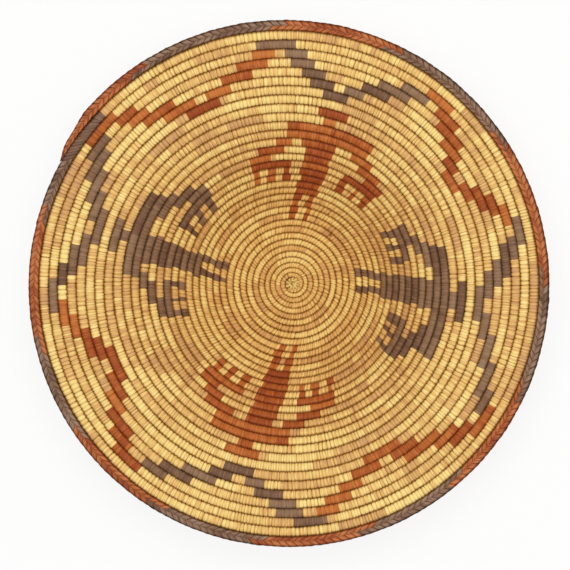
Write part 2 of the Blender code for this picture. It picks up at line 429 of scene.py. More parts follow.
def joined(tubes, rings, around):
    """Corners of the quads and caps of closed tubes, as numbers of (tube, ring, spoke)."""
    tube, ring, spoke = np.meshgrid(
        np.arange(tubes), np.arange(rings - 1), np.arange(around), indexing="ij")
    ring = ring[..., None] + np.array([0, 1, 1, 0])
    spoke = spoke[..., None] + np.array([0, 0, 1, 1])
    tube = np.broadcast_to(tube[..., None], ring.shape)
    quads = np.stack([tube, ring, spoke], axis=-1).reshape(-1, 4, 3)
    tube, end, spoke = np.meshgrid(
        np.arange(tubes), np.arange(2), np.arange(around), indexing="ij")
    spoke = np.where(end == 0, spoke, around - 1 - spoke)
    caps = np.stack([tube, end * (rings - 1), spoke], axis=-1).reshape(-1, around, 3)
    return quads, caps


def tube_piece(name, points, laid, cells, columns, looks):
    """A mesh of closed tubes. points: tube, ring, spoke, xyz. laid: tube, ring, spoke and
    one more, and then across the splint, round the section, and painted shade with dirt.
    cells: for each tube and ring, the cell of the flat map, and how far into it.
    looks: tone and finish of each tube and ring, which colour the faces after the ring."""
    tubes, rings, around = points.shape[:3]
    quads, caps = joined(tubes, rings, around)
    corners = np.concatenate([quads.reshape(-1, 3), caps.reshape(-1, 3)])
    sizes = np.concatenate([np.full(len(quads), 4), np.full(len(caps), around)])
    starts = np.cumsum(sizes) - sizes
    mesh = bpy.data.meshes.new(name)
    mesh.vertices.add(tubes * rings * around)
    mesh.vertices.foreach_set("co", points.astype(np.float32).ravel())
    mesh.loops.add(len(corners))
    number = (corners[:, 0] * rings + corners[:, 1]) * around + corners[:, 2] % around
    mesh.loops.foreach_set("vertex_index", number.astype(np.int32))
    mesh.polygons.add(len(sizes))
    mesh.polygons.foreach_set("loop_start", starts.astype(np.int32))
    face_at = corners[starts]
    ring = np.minimum(face_at[:, 1], rings - 2)
    write_looks(mesh, face_at[:, 0], ring, looks)
    write_maps(mesh, corners, np.repeat(ring, sizes), laid, cells, columns)
    mesh.update(calc_edges=True)
    mesh.shade_smooth()
    return bpy.data.objects.new(name, mesh)


def write_looks(mesh, tube, ring, looks):
    """The tone of every face, and which of the piece's finishes it takes."""
    tone, finish = looks
    store = mesh.attributes.new("tone", "FLOAT", "FACE")
    store.data.foreach_set("value", tone[tube, ring].astype(np.float32))
    mesh.polygons.foreach_set("material_index", finish[tube, ring].astype(np.int32))


def write_maps(mesh, corners, ring, laid, cells, columns):
    """Where each corner lies on its splint, and on the flat map of the whole piece."""
    tube, own_ring, spoke = corners.T
    store = mesh.attributes.new("splint", "FLOAT_VECTOR", "CORNER")
    store.data.foreach_set("vector", laid[tube, own_ring, spoke].astype(np.float32).ravel())
    cell, share = cells
    number = cell[tube, ring]
    far = share[tube, own_ring]
    far = np.where(far < share[tube, ring], 1.0, far)
    lines = math.ceil((cell.max() + 1) / columns)
    across = (number % columns + MAP_SIDE + (1.0 - 2 * MAP_SIDE) * far) / columns
    round_share = spoke / (laid.shape[2] - 1)
    up = (number // columns + MAP_END + (1.0 - 2 * MAP_END) * round_share) / lines
    unrolled = mesh.uv_layers.new(name="OFBake")
    unrolled.uv.foreach_set("vector", np.stack([across, up], axis=-1).astype(np.float32).ravel())


print("faces of a tube of 10 rings and 8 spokes:", len(joined(1, 10, 8)[0]) + 2)

# %% [markdown]
# ## Node trees written as sums
#
# A finish is a small calculation: fibres times this, edges minus that. Wiring it in the
# node editor by hand, or with a call for every node, buries the idea. So one small class
# stands for a socket and lets plain Python sums add the Math nodes, and one method adds
# any other node. Colours go through Mix nodes, because a Math node would turn them grey.

# %% A socket that can be added and multiplied


class Socket:
    """One output of a node. Sums on it add Math nodes."""

    def __init__(self, finish, output):
        self.finish = finish
        self.output = output

    def math(self, operation, *values):
        """A Math node on these values, or on this socket alone."""
        node = self.finish.nodes.new("ShaderNodeMath")
        node.operation = operation
        for entry, value in zip(node.inputs, values or (self,)):
            self.finish.feed(entry, value)
        return Socket(self.finish, node.outputs[0])

    def __add__(self, other):
        return self.math("ADD", self, other)

    def __sub__(self, other):
        return self.math("SUBTRACT", self, other)

    def __rsub__(self, other):
        return self.math("SUBTRACT", other, self)

    def __mul__(self, other):
        return self.math("MULTIPLY", self, other)

    __radd__ = __add__
    __rmul__ = __mul__

    def between(self, low, high):
        """0 below low, 1 above high, and a soft step in between."""
        sockets = {"Value": self, "From Min": low, "From Max": high}
        return self.finish.add("MapRange", {"interpolation_type": "SMOOTHSTEP"}, sockets)


class Finish:
    """A material, with one method that adds any node."""

    def __init__(self, name):
        self.material = bpy.data.materials.new(name)
        self.material.use_nodes = True
        self.nodes = self.material.node_tree.nodes
        self.shader = self.nodes["Principled BSDF"]

    def feed(self, entry, value):
        """Link a socket to an entry, or set a plain value on it."""
        if isinstance(value, Socket):
            self.material.node_tree.links.new(value.output, entry)
        else:
            entry.default_value = value

    def add(self, kind, settings, sockets, result=0):
        """Any node: its settings come first, then the values or links of its sockets."""
        node = self.nodes.new("ShaderNode" + kind)
        for name, value in settings.items():
            if name == "stops":
                set_stops(node.color_ramp, value)
            else:
                setattr(node, name, value)
        for name, value in sockets.items():
            self.feed(node.inputs[name], value)
        return Socket(self, node.outputs[result])

    def mix(self, way, share, first, second):
        """Two colours mixed: share 0 is the first."""
        settings = {"data_type": "RGBA", "blend_type": way, "clamp_factor": True}
        return self.add("Mix", settings, {0: share, 6: first, 7: second}, 2)


def set_stops(ramp, stops):
    """Give a colour ramp its places and colours."""
    while len(ramp.elements) < len(stops):
        ramp.elements.new(0.5)
    for element, (place, colour) in zip(ramp.elements, stops):
        element.position = place
        element.color = colour


def paint(red, green, blue):
    """A colour as a paint chart gives it, 0 to 255, in the light that shaders add up."""
    shares = [channel / 255 for channel in (red, green, blue)]
    light = [s / 12.92 if s <= 0.04045 else ((s + 0.055) / 1.055) ** 2.4 for s in shares]
    return (*light, 1.0)


print("straw:", [round(channel, 3) for channel in paint(250, 212, 132)])

# %% [markdown]
# ## What a splint looks like
#
# A splint is split from wood, scraped and left to dry: satin, not shiny, with fibres
# along it. It is painted darker where it dives between its neighbours, with shade and a
# little dirt, and browner toward the middle of the bowl. The dyed ones took the dye
# unevenly. One recipe does for all of them, with its own ramp of tones: brown to pale for
# undyed wood, deep to bright for a dye.
#
# The light does most of the rounding, because each stitch is real geometry. The recipe
# adds what is finer than the mesh: fibres, edges and stains. It also paints shade: on the
# coil's sides where they turn down into the grooves, and in the seams, mixed there with
# some dirt.

# %% Colours and sizes of the splints
NATURAL_TONES = ((0.0, paint(206, 157, 105)), (0.30, paint(224, 174, 107)),
                 (0.60, paint(241, 197, 117)), (1.0, paint(255, 227, 145)))
RUST_TONES = ((0.0, paint(151, 70, 32)), (0.5, paint(179, 96, 43)), (1.0, paint(204, 123, 60)))
BROWN_TONES = ((0.0, paint(112, 80, 60)), (0.5, paint(137, 103, 76)), (1.0, paint(154, 121, 92)))
# Shade colours: mixed in as painted shade in the grooves and seams, with some dirt in the seams.
GROOVE_SHADE_AND_DIRT = paint(132, 78, 2)
RUST_SHADE_AND_DIRT = paint(104, 40, 4)
BROWN_SHADE_AND_DIRT = paint(70, 42, 12)
BROWNER = paint(244, 233, 221)
FIBRES_ACROSS = 3.0
FIBRES_ALONG = 2.2
FIBRE_TONES = 2.2
FIBRE_DEPTH = 0.00012
STAIN_SCALE = 28.0
STAIN_TONES = 0.6
BROWNEST_WITHIN = 0.055
BROWNER_WITHIN = 0.150
TURNED_MORE = 0.3
SIDE_STARTS = -0.47
SIDE_ENDS = 0.80
SIDE_SHADE = 0.85
TOP_SHADE_AND_DIRT = 0.7
RAGGED = 1.5
ROUGH = 0.52
ROUGH_FIBRES = 0.16
ROUGH_SHADE_AND_DIRT = 0.22
SHEEN = 0.14
print("deepest undyed wood:", [round(channel, 3) for channel in NATURAL_TONES[0][1]])

# %% The splint recipe


def splint_finish(name, tones, shade_and_dirt, spots=()):
    """Fibres and stains over a ramp of tones, with painted shade and some dirt in the grooves
    and seams, and a few dark spots.
    """
    finish = Finish(name)
    tone = finish.add("Attribute", {"attribute_name": "tone"}, {}, "Fac")
    laid = finish.add("Attribute", {"attribute_name": "splint"}, {}, "Vector")
    axes = finish.add("SeparateXYZ", {}, {"Vector": laid})
    share = Socket(finish, axes.output.node.outputs["Y"])
    shade_and_dirt_here = Socket(finish, axes.output.node.outputs["Z"])
    place = finish.add("NewGeometry", {}, {}, "Position")
    stretch = (FIBRES_ACROSS, FIBRES_ALONG, 1.0)
    grain = finish.add("VectorMath", {"operation": "MULTIPLY"}, {0: laid, 1: stretch})
    fibres = finish.add("TexNoise", {}, {"Vector": grain, "Scale": 1.0, "Detail": 4.0})
    stain = finish.add("TexNoise", {}, {"Vector": place, "Scale": STAIN_SCALE, "Detail": 4.0})
    apart = finish.add("VectorMath", {"operation": "MULTIPLY"}, {0: place, 1: (1, 1, 0)})
    far = finish.add("VectorMath", {"operation": "LENGTH"}, {0: apart}, "Value")
    # Darker and browner toward the middle of the bowl: a brown tint, and a wider band of the
    # painted groove shade below.
    base = 1.0 - far.between(BROWNEST_WITHIN, BROWNER_WITHIN)
    # Painted groove shade: the coil's sides are darkened where they turn down into the grooves
    # between rows.
    turned_down = (share * (2.0 * math.tau)).math("COSINE") + base * TURNED_MORE
    side = turned_down.between(SIDE_STARTS, SIDE_ENDS)
    level = tone + (fibres - 0.5) * FIBRE_TONES + (stain - 0.5) * STAIN_TONES
    colour = finish.add("ValToRGB", {"stops": tones}, {"Fac": level})
    colour = finish.mix("MULTIPLY", base, colour, BROWNER)
    # Painted shade and dirt: the seam marks, stronger toward the grooves, on top of the painted
    # groove shade.
    shade = 1.0 - (1.0 - shade_and_dirt_here * (TOP_SHADE_AND_DIRT + side)) * (1.0 - side * SIDE_SHADE)
    for middle, size in spots:
        away = finish.add("VectorMath", {"operation": "DISTANCE"}, {0: place, 1: middle}, "Value")
        ragged = away + (stain - 0.5) * (RAGGED * size)
        shade = 1.0 - (1.0 - shade) * ragged.between(0.0, size)
    # The shade colour goes where the painted shade and dirt fall.
    colour = finish.mix("MIX", shade, colour, shade_and_dirt)
    finish.feed(finish.shader.inputs["Base Color"], colour)
    rough = ROUGH + fibres * ROUGH_FIBRES + shade * ROUGH_SHADE_AND_DIRT
    finish.feed(finish.shader.inputs["Roughness"], rough)
    finish.shader.inputs["Specular IOR Level"].default_value = SHEEN
    sockets = {"Height": fibres, "Strength": 0.5, "Distance": FIBRE_DEPTH}
    finish.feed(finish.shader.inputs["Normal"], finish.add("Bump", {}, sockets))
    return finish.material


def spot_on_row(row, degrees, out):
    """A place on top of the sewing, for a small fault that the real tray has."""
    turn = turn_at(degrees, row)
    return tuple(on_coil(turn, out, float(of_coil("half_height", turn))))


# Two dark faults: the place of each, and how far it reaches. The first is a small hole,
# painted dark as the shade in it.
SPOTS = ((spot_on_row(9, 52.5, 0.0012), 0.0024), (spot_on_row(32, 340.0, 0.0026), 0.0018))
NATURAL = splint_finish("undyed_splint", NATURAL_TONES, GROOVE_SHADE_AND_DIRT, SPOTS)
RUST = splint_finish("rust_dyed_splint", RUST_TONES, RUST_SHADE_AND_DIRT)
BROWN = splint_finish("brown_dyed_splint", BROWN_TONES, BROWN_SHADE_AND_DIRT)
FINISHES = (NATURAL, RUST, BROWN)
print("nodes in the undyed finish:", len(NATURAL.node_tree.nodes))

# %% [markdown]
# ## The sewn rows
#
# A stitch is a flat splint pulled tight round the rods, so the row is like a spring with
# flat, slightly rounded coils that touch. Each stitch could be its own little band, but
# seven thousand bands with undersides nobody can see would be over twice as heavy. Here a
# row is one closed tube. Six rings to a stitch raise its back and sink its edges into a
# seam, and every stitch is a little higher, lower or more tilted than the next. Some
# seams are tight and hardly show, and some gape, and these are painted darker with shade
# and some dirt.
#
# The stitches lean near the middle, where the sewer's hand pulls them back, and stand
# straight further out. On the inner side each one reaches over the row before it.

# %% Sizes of a stitch
ACROSS = np.array([0.0, 0.07, 0.21, 0.5, 0.79, 0.93])
BACK = np.array([-1.0, -0.32, -0.06, 0.0, -0.06, -0.32])
# How dark each ring of a stitch is painted: shade and some dirt in the seam between stitches.
SEAM_SHADE_AND_DIRT = np.array([1.0, 0.52, 0.10, 0.0, 0.10, 0.52])
LEAST_SHADE_AND_DIRT = 0.40
MOST_SHADE_AND_DIRT = 1.0
FAINT_IF_DYED = 0.80
SPOKES = 16
TIGHT_SEAM = 0.11
OPEN_SEAM = 0.17
FEW_GAPE = 2.8
SHALLOW_IF_DYED = 0.5
OVERLAP = 0.00025
REACH_OVER = 0.00035
PACKED_BELOW = 0.0011
MIDDLE_LEAN = 0.00175
STRAIGHTENS_FROM = 14
STRAIGHTENS_OVER = 8
LEAN_VARIES = 0.00022
SIDE_VARIES = 0.00011
SPLINT_VARIES = 0.00008
STITCH_VARIES = 0.00008
TILT_VARIES = 0.00016


def row_lean(turn):
    """How far a stitch's outer end lies behind its inner end."""
    share = 2 * of_coil("half_width", turn) / MIDDLE_COIL
    return -MIDDLE_LEAN * share * (1.0 - ease((turn - STRAIGHTENS_FROM) / STRAIGHTENS_OVER))


def along(pattern, count):
    """One stitch's pattern over all the rings of a row, and its first value again."""
    return np.append(np.tile(pattern, count), pattern[0])


def of_stitch(values):
    """A value of each stitch, for all its rings and the end of the row."""
    return np.append(np.repeat(values, len(ACROSS)), values[-1])


def of_seam(values):
    """A value of each seam, for the rings on both sides of it."""
    near, far = values[:-1], values[1:]
    rings = np.stack([near, near, near, (near + far) / 2, far, far], axis=1)
    return np.append(rings.ravel(), values[-1])


print("rings in a row near the rim:", len(trial_splints) * len(ACROSS) + 1)

# %% Build a sewn row


def swell_of(splint, depth):
    """How far each ring stands out of the row, or lies below it in a seam."""
    count = len(splint)
    used, of_splint = np.unique(splint, return_inverse=True)
    high = draw.normal(0.0, SPLINT_VARIES, len(used))[of_splint]
    high = high + draw.normal(0.0, STITCH_VARIES, count)
    swell = along(BACK, count) * of_seam(depth) + of_stitch(high)
    tilt = of_stitch(draw.normal(0.0, TILT_VARIES, count))
    return swell + tilt * (along(ACROSS, count) - 0.5)


def round_rods(turn, half_width, swell, count):
    """Points round the rods at every ring: how far out, and how far up."""
    outer_side, inner_side = draw.normal(0.0, SIDE_VARIES, (2, count))
    out, up = section(SPOKES, 1.0)[:2]
    half_height = of_coil("half_height", turn)[:, None]
    sides = of_stitch(outer_side)[:, None] * np.clip(out, 0, 1) ** 2
    sides = sides - (REACH_OVER + of_stitch(inner_side)[:, None]) * np.clip(-out, 0, 1) ** 2
    sides = sides * (1.0 + along(BACK, count))[:, None]
    packed = PACKED_BELOW * out * np.abs(out) * np.clip(-3 * up, 0, 1)
    points_out = (half_width + swell) * out + sides + packed
    return points_out, np.maximum((half_height + swell) * up, -half_height)


def sewn_tube(name, start, end, lean_of, dyed=None, faint_dyed=FAINT_IF_DYED, deeper=0.0):
    """One row of stitches as a closed tube."""
    marks, splint = stitch_marks(start, end)
    count = len(splint)
    middles = (marks[1:] + marks[:-1]) / 2
    dye = dye_of(middles) if dyed is None else np.full(count, dyed)
    tone = tones_of(dye, splint) - deeper
    width = (marks[1:] - marks[:-1]) * round_length(middles)
    seam = draw.uniform(0.0, 1.0, count + 1) ** FEW_GAPE
    faint = faint_dyed * (np.append(dye, dye[-1]) > 0)
    depth = np.append(width, width[-1]) * (TIGHT_SEAM + OPEN_SEAM * seam)
    swell = swell_of(splint, depth * (1.0 - SHALLOW_IF_DYED * faint))
    across = along(ACROSS, count)
    turn = of_stitch(marks[:-1]) + of_stitch(np.diff(marks)) * across
    turn[-1] = end
    half_width = of_coil("half_width", turn)[:, None] + OVERLAP
    points_out, points_up = round_rods(turn, half_width, swell[:, None], count)
    lean = lean_of(turn) + of_seam(draw.normal(0.0, LEAN_VARIES, count + 1))
    lean = lean[:, None] * points_out / (2 * half_width)
    points = on_coil(turn[:, None] + lean / round_length(turn)[:, None], points_out, points_up)
    # Painted shade and some dirt in the seams: darkest where a seam gapes, faint on dyed stitches.
    seam_shade_and_dirt = np.minimum(LEAST_SHADE_AND_DIRT + MOST_SHADE_AND_DIRT * seam, 1.0) * (1.0 - faint)
    return row_piece(name, points, across, along(SEAM_SHADE_AND_DIRT, count) * of_seam(seam_shade_and_dirt), tone, dye)


print("rings of two stitches, across each:", along(ACROSS, 2))

# %% Put a row into the scene
STITCHES_IN_LINE = 30


def laid_on(across, share, shade_and_dirt):
    """Where points lie on their splints: one array of three values for each."""
    return np.stack(np.broadcast_arrays(across, share, shade_and_dirt), axis=-1)


def row_piece(name, points, across, shade_and_dirt, tone, dye):
    """The row's object, with its flat map in lines of about so many stitches."""
    count = len(tone)
    stitch = np.append(np.repeat(np.arange(count), len(ACROSS)), count - 1)
    share = np.arange(SPOKES + 1) / SPOKES
    laid = laid_on((stitch + across)[:, None], share, shade_and_dirt[:, None])
    in_line = math.ceil(count / max(1, round(count / STITCHES_IN_LINE)))
    far = (stitch % in_line + across) / in_line
    far[-1] = 1.0
    cells = (stitch // in_line)[None], far[None]
    looks = tone[stitch][None], dye[stitch][None]
    piece = tube_piece(name, points[None], laid[None], cells, 1, looks)
    return shown(piece, *FINISHES)


def shown(piece, *finishes):
    """The piece with its finishes, put into the scene on the tray's one body."""
    for finish in finishes:
        piece.data.materials.append(finish)
    bpy.context.scene.collection.objects.link(piece)
    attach(piece, "root")
    return piece


print("lines of stitches on a row's flat map:", round(len(trial_splints) / STITCHES_IN_LINE))

# %% Sew all the rows
row_ends = [row + ROW_JOINT for row in range(WHOLE_ROWS + 1)] + [PLAIN_END]
stitches_sewn = 0
for row, (start, end) in enumerate(zip(row_ends, row_ends[1:]), 1):
    piece = sewn_tube(f"sewn_row_{row:02d}", start, end, row_lean)
    stitches_sewn += (len(piece.data.polygons) - 2) // (len(ACROSS) * SPOKES)
    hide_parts(f"stitching_row_{row:02d}")
print("rows:", row, "stitches:", stitches_sewn)

# %% [markdown]
# ## The wrap that starts the rim
#
# Just before the braid the sewer wraps some 45 mm of coil with brown splint, laid
# steeply aslant. It is the same kind of tube as a sewn row, with another lean, which
# grows from nothing so that the last upright stitch and the first slanting one meet.
# The rim has two paler ramps of its own.

# %% Wrap the rim's start
RIM_RUST_TONES = ((0.0, paint(148, 74, 44)), (0.5, paint(179, 99, 57)), (1.0, paint(204, 126, 76)))
RIM_BROWN_TONES = ((0.0, paint(112, 83, 66)), (0.5, paint(141, 108, 86)),
                   (1.0, paint(162, 130, 108)))
RIM_FINISHES = (NATURAL, splint_finish("rust_rim_splint", RIM_RUST_TONES, RUST_SHADE_AND_DIRT),
                splint_finish("brown_rim_splint", RIM_BROWN_TONES, BROWN_SHADE_AND_DIRT))
WRAP_LEAN = 0.0080
LEAN_GROWS = 0.014
WRAP_FAINT = 0.0
WRAP_DEEPER = 0.30


def wrap_lean(turn):
    """How far a stitch of the wrap slants, growing from its start."""
    return WRAP_LEAN * ease((turn - PLAIN_END) / LEAN_GROWS)


brown = DYES.index("brown")
wrap = sewn_tube("slanting_wrap", PLAIN_END, BRAID_START, wrap_lean, brown, WRAP_FAINT, WRAP_DEEPER)
wrap.data.materials[brown] = RIM_FINISHES[brown]
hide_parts("rim_start_wrap")
print("faces in the wrap:", len(wrap.data.polygons))

# %% [markdown]
# ## The braided rim
#
# The rim looks like a row of arrow heads. It comes from splints that cross on top of the
# coil, one set falling outward and one inward, in brown and rust by turns. It could be
# one twisted texture on a tube, but its edge against the sky is ragged with the strands,
# so every strand is a closed, flattened tube. Each starts under the strands of the
# other side, comes up in the middle, and runs slanting down to the underside. They lie
# in pairs, and each pair makes one side of an arrow head. The first ones come from under
# the slanting wrap, and the last ones are drawn in against it.
#
# Under the strands lies a plain core, so that no light shows between them. It is painted
# dark all over, as the shade under the strands.

# %% Where the strands run
STRAND_PITCH = 0.0028
PAIR_SHIFT = 0.00064
STRAND_RINGS = 15
STRAND_RISES = 0.26
STRAND_DIVES = 0.10
RIM_STEP = STRAND_PITCH / round_length(BRAID_START)


def strand_path(first, last, slant):
    """Round the section from one angle to another: where on it, how deep, how far on."""
    share = np.linspace(0.0, 1.0, STRAND_RINGS)
    angle = np.radians(first + (last - first) * share)
    box_out, box_up, out, up = box_at(angle, FULLNESS)
    step = np.hypot(np.diff(box_out), np.diff(box_up))
    run = np.concatenate([[0.0], np.cumsum(step)]) * slant
    sink = 1.0 - ease(share / STRAND_RISES) * ease((1.0 - share) / STRAND_DIVES)
    return box_out, box_up, out, up, sink, run, angle / math.tau


def strand_starts(joints, length, early=0):
    """Where the strands of one dyed length start, in pairs a little closer together."""
    first, last = (turn_at(degrees) - BRAID_START for degrees in joints[length:length + 2])
    numbers = np.arange(math.ceil(first / RIM_STEP) - early, math.ceil(last / RIM_STEP))
    shift = np.where(numbers % 2, -PAIR_SHIFT, PAIR_SHIFT) / STRAND_PITCH
    return BRAID_START + (numbers + shift) * RIM_STEP


OUTER_PATH = strand_path(first=118, last=-100, slant=1.0)
INNER_PATH = strand_path(first=66, last=262, slant=1.17)
whole_rim = BRAID_JOINTS[0], BRAID_JOINTS[-1]
print("strands round the rim:", 2 * len(strand_starts(whole_rim, 0)))

# %% Lay the strands
STRAND_HALF = 0.00176
STRAND_THICK = 0.00078
STRAND_FLAT = 0.5
STRAND_SPOKES = 8
STRAND_ROUND = np.arange(STRAND_SPOKES + 1) / STRAND_SPOKES
SUNK = 0.00085
UNDER_WRAP = 0.0008
UNDER_STEP = 0.0014
TIP_END = turn_at(511.5)
TIP_LENGTH = 3.6 / 360
TIP_LEAST = 0.12
DRAW_START = turn_at(498.5)
DRAW_LENGTH = 6.5 / 360
DRAWN_IN = 0.38
HIGH_VARIES = 0.00010
ODD_LOWER = 0.00010
THIN_WHERE_SUNK = 0.35
BROAD_SHARE = (0.90, 1.12)
# Painted shade on the strands: at the gaps between pairs, where a strand dives, and low on the rim.
EDGE_SHADE = 0.14
PAIR_SEAM = 0.12
SUNK_SHADE = 0.97
LOW_SHADE = 0.45
LOW_BELOW = 0.6


def on_tip(turn, out, up):
    """Points beside the coil, drawn in against the wrap where the braid ends."""
    share = TIP_LEAST + (1.0 - TIP_LEAST) * ease((TIP_END - turn) / TIP_LENGTH) ** 0.5
    share = share * (1.0 - DRAWN_IN * ease((turn - DRAW_START) / DRAW_LENGTH))
    drawn_in = (1.0 - share) * of_coil("half_width", turn)
    return on_coil(np.minimum(turn, TIP_END), share * out - drawn_in, share * up)


def under_wrap(turn, out):
    """1 where a strand still lies under the slanting end of the wrap, and 0 past it."""
    past = (turn - BRAID_START) * round_length(BRAID_START) - 0.5 * WRAP_LEAN * out
    return 1.0 - ease(past / UNDER_STEP)


def strand_shade(odd, up, sink):
    """Painted shade on a strand's far edge, where it dives, and low on the rim."""
    sideways = np.cos(math.tau * STRAND_ROUND)
    toward_partner = sideways * (1.0 - 2.0 * odd) > 0
    edge = np.abs(sideways) ** 3 * np.where(toward_partner, PAIR_SEAM, 1.0)
    low = 1.0 - ease(up / LOW_BELOW)
    deep = 1.0 - (1.0 - SUNK_SHADE * sink) * (1.0 - LOW_SHADE * low)
    return 1.0 - (1.0 - EDGE_SHADE * edge)[:, None] * (1.0 - deep)[:, None]


def strands(turns, path):
    """Points of the strands that start at these turns, and where they lie on their splints."""
    box_out, box_up, out, up, sink, run, round_share = path
    size = (of_coil("half_width", turns) / (RIM_WIDTH / 2))[:, None]
    odd = (np.round((turns - BRAID_START) / RIM_STEP) % 2)[:, None]
    high = draw.normal(0.0, HIGH_VARIES, (len(turns), 1)) - odd * ODD_LOWER
    half_width = of_coil("half_width", turns)[:, None] - STRAND_THICK * size
    half_height = of_coil("half_height", turns)[:, None] - STRAND_THICK * size
    line_turn = turns[:, None] + run * half_width / round_length(turns)[:, None]
    lift = (high - sink * SUNK - under_wrap(line_turn, box_out) * UNDER_WRAP) * size
    line_out = half_width * box_out + lift * out
    line_up = half_height * box_up + lift * up
    flat_wide, flat_proud = section(STRAND_SPOKES, STRAND_FLAT)[:2]
    thin = ((1.0 - THIN_WHERE_SUNK * sink) * size)[..., None]
    broad = draw.uniform(*BROAD_SHARE, (len(turns), 1, 1))
    proud = STRAND_THICK * flat_proud * thin
    wide = STRAND_HALF * flat_wide * thin * broad
    points_out = line_out[..., None] + proud * out[:, None]
    points_up = line_up[..., None] + proud * up[:, None]
    place = line_turn[..., None] + wide / round_length(turns)[:, None, None]
    across = 2 * (np.arange(len(turns))[:, None, None] + STRAND_ROUND)
    laid = laid_on(across, round_share[:, None], strand_shade(odd, up, sink))
    return on_tip(place, points_out, points_up), laid


print("points in a strand:", STRAND_RINGS * STRAND_SPOKES)

# %% Braid the rim
INNER_JOINTS = (150, 164.6, 194.5, 216.4, 239.9, 264.6, 289.0, 312.7, 336.6, 363.4,
                395.3, 426.4, 452.5, 485.5, 509.5)
OUTER_JOINTS = (150, 160.6, 190.5, 212.4, 235.9, 260.6, 285.0, 308.7, 332.6, 359.4,
                391.3, 422.4, 448.5, 481.5, 509.5)
CORE_EARLY = 0.0060
CORE_SUNK = 1.15
CORE_FIBRES = 400
CORE_SHADE = 0.85
EARLY_STRANDS = 3
INNER_LATER = 0.25
SPLINT_STRANDS = 6
SPLINT_SPREAD = (1.6, 2.2)
PAIR_VARIES = 0.16
STRAND_PALER = 0.22
STRAND_VARIES = 0.06


def core_rings(start, end):
    """The plain core under the strands, in as many rings as a strand has."""
    turns = np.linspace(start, end, STRAND_RINGS)[:, None]
    out, up = section(STRAND_SPOKES, FULLNESS)[:2]
    less = CORE_SUNK * STRAND_THICK * of_coil("half_width", turns) / (RIM_WIDTH / 2)
    packed = PACKED_BELOW * np.minimum(out, 0) * np.clip(-2 * up, 0, 1)
    points_out = (of_coil("half_width", turns) - less) * out + packed
    points_up = (of_coil("half_height", turns) - less) * up
    # The core is painted dark all over: painted shade under the strands.
    laid = laid_on(turns * CORE_FIBRES, STRAND_ROUND, CORE_SHADE)
    return on_tip(turns + 0 * out, points_out, points_up)[None], laid[None]


def braid_length(number, colour):
    """One dyed length: outer strands, inner strands and the core under them."""
    early = EARLY_STRANDS if number == 0 else 0
    outer = strand_starts(OUTER_JOINTS, number, early)
    inner = strand_starts(INNER_JOINTS, number, early) + INNER_LATER * RIM_STEP
    core_early = CORE_EARLY / round_length(BRAID_START) if number == 0 else 0.0
    core_start = turn_at(BRAID_JOINTS[number]) - core_early
    core = core_rings(core_start, turn_at(BRAID_JOINTS[number + 1]))
    parts = strands(outer, OUTER_PATH), strands(inner, INNER_PATH), core
    points, laid = (np.concatenate(each) for each in zip(*parts))
    count = len(points)
    cell = np.repeat(np.arange(count)[:, None], STRAND_RINGS, 1)
    far = np.repeat(np.linspace(0.0, 1.0, STRAND_RINGS)[None], count, 0)
    splints = draw.beta(*SPLINT_SPREAD, count // SPLINT_STRANDS + 1)
    pairs = draw.normal(0.0, PAIR_VARIES, count // 2 + 1)
    tone = np.repeat(splints, SPLINT_STRANDS)[:count] + np.repeat(pairs, 2)[:count]
    tone = np.clip(tone + draw.normal(STRAND_PALER, STRAND_VARIES, count), 0.0, 1.0)
    dye = np.full(count, DYES.index(colour))
    looks = [np.repeat(each[:, None], STRAND_RINGS, 1) for each in (tone, dye)]
    name = f"braid_{number + 1:02d}"
    return tube_piece(name, points, laid, (cell, far), round(count ** 0.5), looks)


for number in range(len(BRAID_JOINTS) - 1):
    colour = DYES[2 - number % 2]
    piece = shown(braid_length(number, colour), *RIM_FINISHES)
    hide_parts(f"rim_braid_{number + 1:02d}_{colour}")
print("lengths of braid:", number + 1)

# %% [markdown]
# ## The start knot
#
# The coil starts from a button: a knotted splint, oversewn with ten short stitches
# that fan out from the middle and hide the coil's first bend. A lathe shape would be too
# perfect, so the button is a polar grid of points, raised along each stitch, sunk
# between them and creased where the strands of the knot part in the middle. Its outline
# is a snail's, because it ends where the coil's first turn begins.

# %% Make the knot
KNOT_STITCHES = 10
KNOT_STEPS = 8
KNOT_REACH = 0.0055
KNOT_TOP = 0.0039
KNOT_PROFILE = np.array([
    (0.03, 0.86), (0.12, 0.88), (0.24, 0.96), (0.42, 1.0), (0.60, 0.985), (0.76, 0.95),
    (0.88, 0.88), (0.95, 0.80), (1.0, 0.68), (0.99, 0.50), (0.90, 0.25), (0.60, 0.0)])
KNOT_RINGS = 34
KNOT_UPPER = 0.4
KNOT_CROWN = 1.5
KNOT_NOTCH = 0.07
NOTCH_SHARE = (0.6, 1.4)
KNOT_TWIST = 0.35
KNOT_VARIES = 0.00020
KNOT_SEAM = 0.00120
SEAM_FROM = 0.42
SEAM_OVER = 0.30
# How dark the painted shade in the knot's seams and creases is.
KNOT_SHADE = 0.95
KNOT_WORN = 0.4
KNOT_EDGE = 0.86
CREASES = (((-0.0015, 0.0005), (-0.0002, -0.0014)), ((-0.0012, 0.0018), (0.0001, 0.0011)),
           ((0.0001, 0.0011), (0.0014, 0.0014)), ((-0.0029, -0.0023), (-0.0026, -0.0026)))
CREASE_HALF = 0.0010
CREASE_DEEP = 0.0012
# Colour of the painted shade in the knot's seams and creases.
KNOT_SHADE_AND_DIRT = paint(70, 42, 2)


def from_line(x, y, start, end):
    """Distance of each point from a short line."""
    run = np.subtract(end, start)
    share = ((x - start[0]) * run[0] + (y - start[1]) * run[1]) / run.dot(run)
    share = np.clip(share, 0.0, 1.0)
    return np.hypot(x - start[0] - share * run[0], y - start[1] - share * run[1])


